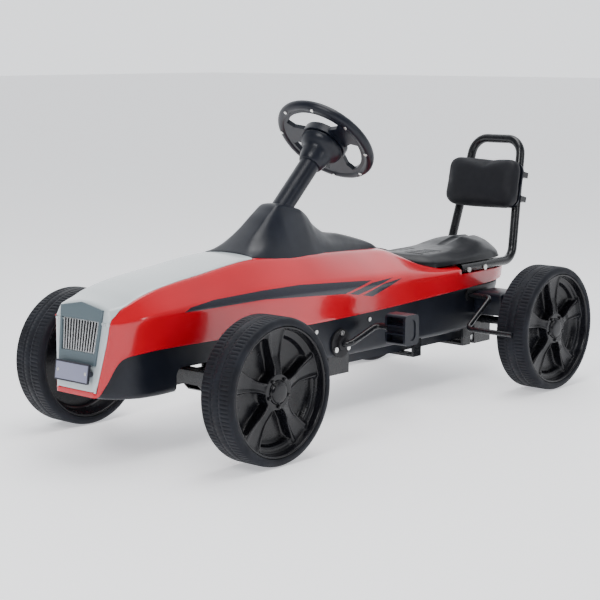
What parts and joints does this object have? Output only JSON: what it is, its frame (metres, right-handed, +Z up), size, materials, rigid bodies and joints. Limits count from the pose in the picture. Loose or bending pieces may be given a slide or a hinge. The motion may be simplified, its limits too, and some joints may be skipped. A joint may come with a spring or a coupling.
{
  "type": "pedal go kart",
  "caption": "Child's pedal go kart: long moulded body, saddle with padded backrest, steered front wheels and a pedal crank driving the rear axle.",
  "frame": {"origin": "on the ground, below the middle of the bounding box", "axes": "+Z up, the front faces -Y, the driver's left side is +X"},
  "size_m": [0.54, 1.2256, 0.5884],
  "materials": {
    "tyre_rubber": "matte moulded tyre with fine shoulder sipes",
    "wheel_plastic": "semi-gloss moulded black",
    "bush_plastic": "plain moulded nylon",
    "black_steel": "gloss black powder coat",
    "zinc_steel": "bright zinc plate",
    "black_plastic": "satin moulded with a fine grain",
    "seat_plastic": "semi-gloss ribbed moulding",
    "red_plastic": "high gloss",
    "white_plastic": "pearl light grey gloss",
    "grille_grey": "metallic grey",
    "bright_trim": "bright plated plastic",
    "plate_plastic": "pale grey plate with a black border",
    "pad_vinyl": "matte leatherette over foam"
  },
  "bodies": {
    "chassis": {"main_frame": "black_steel", "front_axle_beam": "black_steel", "beam_bolts": "zinc_steel", "kingpin_bolts": "zinc_steel", "body_shell": "red_plastic", "hood_panel": "white_plastic", "lower_tub": "black_plastic", "tub_screws": "zinc_steel", "grille_frame": "grille_grey", "grille_bars": "bright_trim", "number_plate": "plate_plastic", "plate_screws": "zinc_steel", "steering_cowl": "black_plastic", "column_sleeve": "black_plastic", "column_bushes": "bush_plastic", "seat": "seat_plastic", "backrest_frame": "black_steel", "backrest_bolts": "zinc_steel", "backrest_board": "black_plastic", "backrest_pad": "pad_vinyl", "pad_straps": "black_steel", "rear_axle_bearings": "bush_plastic", "crank_bearings": "bush_plastic", "crank_bearing_bolts": "zinc_steel", "chain": "zinc_steel", "chain_guard": "black_plastic", "brake_bushes": "bush_plastic"},
    "steering": {"steering_wheel": "black_plastic", "steering_boss": "black_plastic", "steering_cap": "black_plastic", "steering_screws": "zinc_steel", "steering_column": "black_steel"},
    "left_knuckle": {"knuckle_left": "black_steel", "axle_nut_left": "zinc_steel"},
    "right_knuckle": {"knuckle_right": "black_steel", "axle_nut_right": "zinc_steel"},
    "track_rod": {"tie_rod": "black_steel"},
    "front_left_wheel": {"front_left_tyre": "tyre_rubber", "front_left_rim": "wheel_plastic", "front_left_cap": "wheel_plastic", "front_left_bushes": "bush_plastic"},
    "front_right_wheel": {"front_right_tyre": "tyre_rubber", "front_right_rim": "wheel_plastic", "front_right_cap": "wheel_plastic", "front_right_bushes": "bush_plastic"},
    "rear_axle_set": {"rear_axle": "black_steel", "rear_axle_collars": "black_steel", "rear_sprocket": "zinc_steel", "rear_left_tyre": "tyre_rubber", "rear_left_rim": "wheel_plastic", "rear_left_cap": "wheel_plastic", "rear_right_tyre": "tyre_rubber", "rear_right_rim": "wheel_plastic", "rear_right_cap": "wheel_plastic"},
    "crank": {"crankshaft": "black_steel", "drive_sprocket": "zinc_steel"},
    "left_pedal": {"pedal_left": "black_plastic"},
    "right_pedal": {"pedal_right": "black_plastic"},
    "brake": {"brake_bar": "black_steel", "brake_grip": "black_plastic"}
  },
  "joints": [
    {"name": "steering_turn", "type": "hinge", "parent": "chassis", "child": "steering", "pos_m": [0, 0.03, 0.512], "axis": [0, 0.7193, 0.6947], "range_deg": [-34, 34]},
    {"name": "left_knuckle_steer", "type": "hinge", "parent": "chassis", "child": "left_knuckle", "pos_m": [0.15, -0.39, 0.125], "axis": [0, 0, 1], "range_deg": [-25, 25]},
    {"name": "right_knuckle_steer", "type": "hinge", "parent": "chassis", "child": "right_knuckle", "pos_m": [-0.15, -0.39, 0.125], "axis": [0, 0, 1], "range_deg": [-25, 25]},
    {"name": "track_rod_pivot", "type": "hinge", "parent": "left_knuckle", "child": "track_rod", "pos_m": [0.15, -0.33, 0.12], "axis": [0, 0, 1], "range_deg": [-25, 25]},
    {"name": "front_left_roll", "type": "hinge", "parent": "left_knuckle", "child": "front_left_wheel", "pos_m": [0.235, -0.39, 0.125], "axis": [1, 0, 0], "continuous": true},
    {"name": "front_right_roll", "type": "hinge", "parent": "right_knuckle", "child": "front_right_wheel", "pos_m": [-0.235, -0.39, 0.125], "axis": [1, 0, 0], "continuous": true},
    {"name": "rear_axle_roll", "type": "hinge", "parent": "chassis", "child": "rear_axle_set", "pos_m": [0, 0.44, 0.125], "axis": [1, 0, 0], "continuous": true},
    {"name": "crank_turn", "type": "hinge", "parent": "chassis", "child": "crank", "pos_m": [0, -0.025, 0.136], "axis": [1, 0, 0], "continuous": true},
    {"name": "left_pedal_turn", "type": "hinge", "parent": "crank", "child": "left_pedal", "pos_m": [0.168, 0.05632, 0.16242], "axis": [1, 0, 0], "continuous": true},
    {"name": "right_pedal_turn", "type": "hinge", "parent": "crank", "child": "right_pedal", "pos_m": [-0.168, -0.10632, 0.10958], "axis": [1, 0, 0], "continuous": true},
    {"name": "brake_pull", "type": "hinge", "parent": "chassis", "child": "brake", "pos_m": [0, 0.385, 0.182], "axis": [1, 0, 0], "range_deg": [0, 6.8]}
  ],
  "couplings": [
    {"joint": "left_knuckle_steer", "follows": "steering_turn", "ratio": 0.7353},
    {"joint": "right_knuckle_steer", "follows": "steering_turn", "ratio": 0.7353},
    {"joint": "track_rod_pivot", "follows": "steering_turn", "ratio": -0.7353},
    {"joint": "crank_turn", "follows": "rear_axle_roll", "ratio": 0.7}
  ]
}
